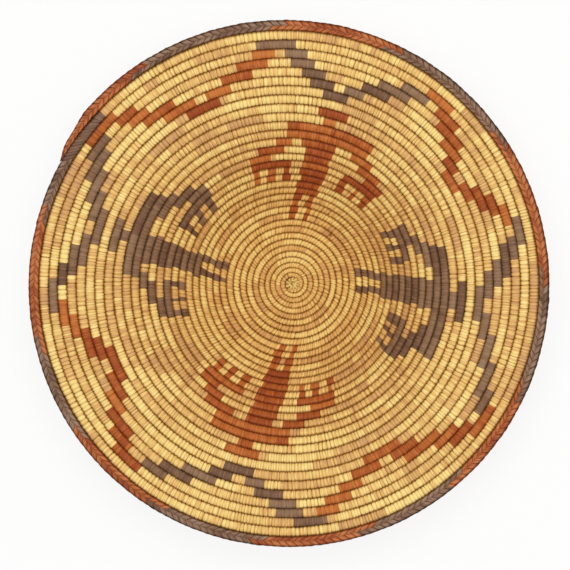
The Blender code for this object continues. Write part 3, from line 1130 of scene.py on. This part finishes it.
def knot_rings():
    """The button from its top to its underside, and where it lies on its splints."""
    turn = np.arange(KNOT_STITCHES * KNOT_STEPS + 1) / (KNOT_STITCHES * KNOT_STEPS)
    at = np.linspace(0, len(KNOT_PROFILE) - 1, KNOT_RINGS)
    ring, top = (np.interp(at, range(len(KNOT_PROFILE)), side)[:, None] for side in KNOT_PROFILE.T)
    stitch = (np.arange(len(turn)) // KNOT_STEPS) % KNOT_STITCHES
    crown = 1.0 - np.abs(2.0 * (turn * KNOT_STITCHES % 1.0) - 1.0) ** KNOT_CROWN
    round_first = (turn - START_ANGLE / 360) % 1.0
    reach = np.maximum(KNOT_REACH, inner_edge(round_first))
    bulge = crown * draw.uniform(*NOTCH_SHARE, KNOT_STITCHES)[stitch]
    reach = reach * (1.0 - KNOT_NOTCH + KNOT_NOTCH * bulge)
    high = draw.normal(0.0, KNOT_VARIES, KNOT_STITCHES)[stitch] * crown
    angle = math.tau * turn + KNOT_TWIST * (1.0 - ring)
    x, y = ring * reach * np.cos(angle), ring * reach * np.sin(angle)
    upper = (top > KNOT_UPPER) * ease((ring - SEAM_FROM) / SEAM_OVER)
    z = KNOT_TOP * top + (high - KNOT_SEAM * (1.0 - crown)) * upper
    crease = np.zeros_like(z)
    for start, end in CREASES:
        crease = np.maximum(crease, 1.0 - ease(from_line(x, y, start, end) / CREASE_HALF))
    crease = crease * (top > KNOT_UPPER)
    z = z - CREASE_DEEP * crease
    worn = np.maximum(draw.uniform(-KNOT_WORN, KNOT_WORN, KNOT_STITCHES), 0.0)[stitch]
    # Painted shade in the seams between the knot's stitches and in its creases, with a random
    # darker tone on some stitches.
    seams = KNOT_SHADE * (1.0 - crown) ** 1.1 * upper
    shade_and_dirt = 1.0 - (1.0 - seams) * (1.0 - KNOT_SHADE * crease) * (1.0 - worn)
    # Painted shade where the knot's edge turns down, and more on its underside.
    turned = ease((ring - KNOT_EDGE) / (1.0 - KNOT_EDGE))
    share = 0.25 + 0.25 * turned + 0.1 * (top < KNOT_UPPER)
    laid = laid_on(turn * KNOT_STITCHES, share, shade_and_dirt)
    return np.stack([x, y, z], axis=-1)[:, :-1], laid


points, laid = (each[::-1] for each in knot_rings())
rings = len(points)
cells = np.zeros((1, rings), dtype=int), np.linspace(0.0, 1.0, rings)[None]
looks = np.full((1, rings), 1.0), np.zeros((1, rings), dtype=int)
knot = tube_piece("start_button", points[None], laid[None], cells, 1, looks)
shown(knot, splint_finish("button_splint", NATURAL_TONES, KNOT_SHADE_AND_DIRT))
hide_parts("start_knot")
print("knot height, mm:", round(1000 * knot.dimensions.z, 2))

# %% [markdown]
# ## The rods inside
#
# Nobody sees the rods once the tray is sewn, but they are what makes it stiff, and the
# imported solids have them. Three round rods lie bunched along the coil, up to where the
# braid draws in. They are plain sweeps along the coil's line, with a round section, and
# each takes one corner of a triangle.

# %% Bunch the rods
ROD_STEPS = 30
ROD_SPOKES = 6
UNDER_SEAMS = 0.0004
ROD_SHARE = 0.40
ROD_TONES = ((0.3, paint(186, 160, 122)), (0.7, paint(214, 194, 156)))
ROD_STREAKS = 900.0
ROD_ROUGH = 0.68


def rod_rings(corner):
    """One of the three rods, from the knot to where the braid draws in: ring, spoke, xyz."""
    turn = np.linspace(ROW_JOINT, DRAW_START, ROD_STEPS * (WHOLE_ROWS + 1))[:, None]
    bunch = (plain_width(turn) - CLEARANCE) / 2 - SPLINT - 2 * CLEARANCE - UNDER_SEAMS
    size = bunch * ROD_SHARE
    angle = math.tau * corner / 3
    out, up = section(ROD_SPOKES, 1.0)[:2]
    middle = bunch - size
    points_out = middle * math.cos(angle) + size * out
    return on_coil(turn, points_out, middle * math.sin(angle) + size * up)


def rod_finish():
    """Peeled wood with pale streaks."""
    finish = Finish("peeled_rod_wood")
    where = finish.add("NewGeometry", {}, {}, "Position")
    streaks = finish.add("TexNoise", {}, {"Vector": where, "Scale": ROD_STREAKS, "Detail": 2.0})
    wood = finish.add("ValToRGB", {"stops": ROD_TONES}, {"Fac": streaks})
    finish.feed(finish.shader.inputs["Base Color"], wood)
    finish.feed(finish.shader.inputs["Roughness"], ROD_ROUGH + streaks * 0.15)
    return finish.material


rods = np.stack([rod_rings(corner) for corner in range(3)])
tubes, rings = rods.shape[:2]
laid = np.zeros((tubes, rings, ROD_SPOKES + 1, 3))
line = np.arange(rings) // ROD_STEPS
cell = np.arange(tubes)[:, None] * (line.max() + 1) + line
far = np.repeat((np.arange(rings) % ROD_STEPS / ROD_STEPS)[None], tubes, 0)
looks = np.full((tubes, rings), 0.5), np.zeros((tubes, rings), dtype=int)
bunch = shown(tube_piece("peeled_rods", rods, laid, (cell, far), 6, looks), rod_finish())
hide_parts("foundation_rods")
print("points in the rods:", len(bunch.data.vertices))

# %% [markdown]
# ## Floor and light
#
# The tray was photographed from almost straight above, on white, in soft, even light.
# More light on everything would bleach the wood, so the ground and the sky are made
# white only where they are seen, straight or in a gloss: there the ground's finish mixes
# in plain white, and keeps a little of the tray's shadow. A white sky gives the even
# light. One broad lamp overhead rounds the stitches and darkens the grooves.

# %% Floor
FLOOR_SIZE = 60.0
FLOOR_WHITE = 0.88
FLOOR_TONES = ((0.0, paint(244, 243, 241)), (1.0, paint(250, 249, 247)))
GLOSS_RAYS = ("Is Glossy Ray", "Is Transmission Ray")
floor_mesh = bpy.data.meshes.new("floor")
sides = ((-1, -1), (1, -1), (1, 1), (-1, 1))
floor_corners = [(x * FLOOR_SIZE / 2, y * FLOOR_SIZE / 2, 0) for x, y in sides]
floor_mesh.from_pydata(floor_corners, [], [(0, 1, 2, 3)])
floor = bpy.data.objects.new("floor", floor_mesh)
ground = Finish("pale_floor")
speckle = ground.add("TexNoise", {}, {"Scale": 60.0, "Detail": 2.0})
pale = ground.add("ValToRGB", {"stops": FLOOR_TONES}, {"Fac": speckle})
ground.feed(ground.shader.inputs["Base Color"], pale)
ground.shader.inputs["Roughness"].default_value = 0.9
ground.shader.inputs["Specular IOR Level"].default_value = 0.1
seen = ground.add("LightPath", {}, {}, "Is Camera Ray")
for kind in GLOSS_RAYS:
    seen = seen + Socket(ground, ground.nodes["Light Path"].outputs[kind])
white = ground.add("Emission", {}, {"Color": (1, 1, 1, 1), "Strength": 1.0})
shaded = Socket(ground, ground.shader.outputs[0])
both = ground.add("MixShader", {}, {0: seen * FLOOR_WHITE, 1: shaded, 2: white})
ground.feed(ground.nodes["Material Output"].inputs["Surface"], both)
floor_mesh.materials.append(ground.material)
bpy.context.scene.collection.objects.link(floor)
floor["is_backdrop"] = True
print("floor, m:", FLOOR_SIZE)

# %% Sky and lamp
SKY = 0.38
LAMP_HEIGHT = 2.2
LAMP_SHARE = 0.70
LAMP_SIZE = 1.3
LAMP_BESIDE = (0.15, 0.35)
sky = bpy.data.worlds.new("white_sky")
sky.use_nodes = True
sky_nodes = sky.node_tree.nodes
sky_links = sky.node_tree.links
path = sky_nodes.new("ShaderNodeLightPath")
strength = sky_nodes.new("ShaderNodeMapRange")
strength.inputs["To Min"].default_value = SKY
strength.inputs["To Max"].default_value = 1.0
seen = path.outputs["Is Camera Ray"]
for kind in GLOSS_RAYS:
    either = sky_nodes.new("ShaderNodeMath")
    sky_links.new(seen, either.inputs[0])
    sky_links.new(path.outputs[kind], either.inputs[1])
    seen = either.outputs[0]
sky_links.new(seen, strength.inputs["Value"])
sky_links.new(strength.outputs[0], sky_nodes["Background"].inputs["Strength"])
sky_nodes["Background"].inputs["Color"].default_value = (1, 1, 1, 1)
bpy.context.scene.world = sky
lamp_data = bpy.data.lights.new("broad_lamp", "AREA")
lamp_data.shape = "DISK"
lamp_data.size = LAMP_SIZE
lamp_data.energy = LAMP_SHARE * (math.pi * LAMP_HEIGHT) ** 2
lamp = bpy.data.objects.new("broad_lamp", lamp_data)
lamp.location = (*LAMP_BESIDE, LAMP_HEIGHT)
lamp.rotation_euler = (-lamp.location).to_track_quat("-Z", "Y").to_euler()
bpy.context.scene.collection.objects.link(lamp)
bpy.context.scene.view_settings.view_transform = "Standard"
print("lamp, W:", round(lamp_data.energy, 1))

# %% [markdown]
# ## Camera
#
# Seen from far above through a long lens, the tray keeps its true round shape. The
# camera leans a little to the right and a very little to the back, which is why the
# middle of the bowl, which is low, sits to the right of the middle of the rim.

# %% Place the camera
FRAME_PIXELS = 570
PIXEL = 0.0007655
LEAN_RIGHT = math.radians(4.8)
LEAN_BACK = math.radians(1.4)
LENS = 1200
SENSOR = 36
MIDDLE_AT = (293.3, 283.8)
camera_data = bpy.data.cameras.new("camera")
camera_data.lens = LENS
camera_data.sensor_width = SENSOR
camera = bpy.data.objects.new("camera", camera_data)
back = Vector((math.tan(LEAN_RIGHT), math.tan(LEAN_BACK), 1.0)).normalized()
right = Vector((0.0, 1.0, 0.0)).cross(back).normalized()
top = back.cross(right)
off_right = (MIDDLE_AT[0] - FRAME_PIXELS / 2) * PIXEL
off_top = (FRAME_PIXELS / 2 - MIDDLE_AT[1]) * PIXEL
aim = -off_right * right - off_top * top
away = FRAME_PIXELS * PIXEL * LENS / SENSOR
turned = Matrix((right, top, back)).transposed().to_4x4()
camera.matrix_world = Matrix.Translation(aim + back * away) @ turned
bpy.context.scene.collection.objects.link(camera)
bpy.context.scene.camera = camera
print("camera distance, m:", round(away, 2))

# %% [markdown]
# ## The size before and after
#
# The dressed tray is meant to keep the size of the imported one, so both boxes are kept and
# printed.

# %% Keep both boxes
dressed_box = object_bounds()
boxes = {"packed": packed_box, "dressed": dressed_box}
for name, box in boxes.items():
    print(name, [round(1000 * float(side), 1) for side in box[1] - box[0]])
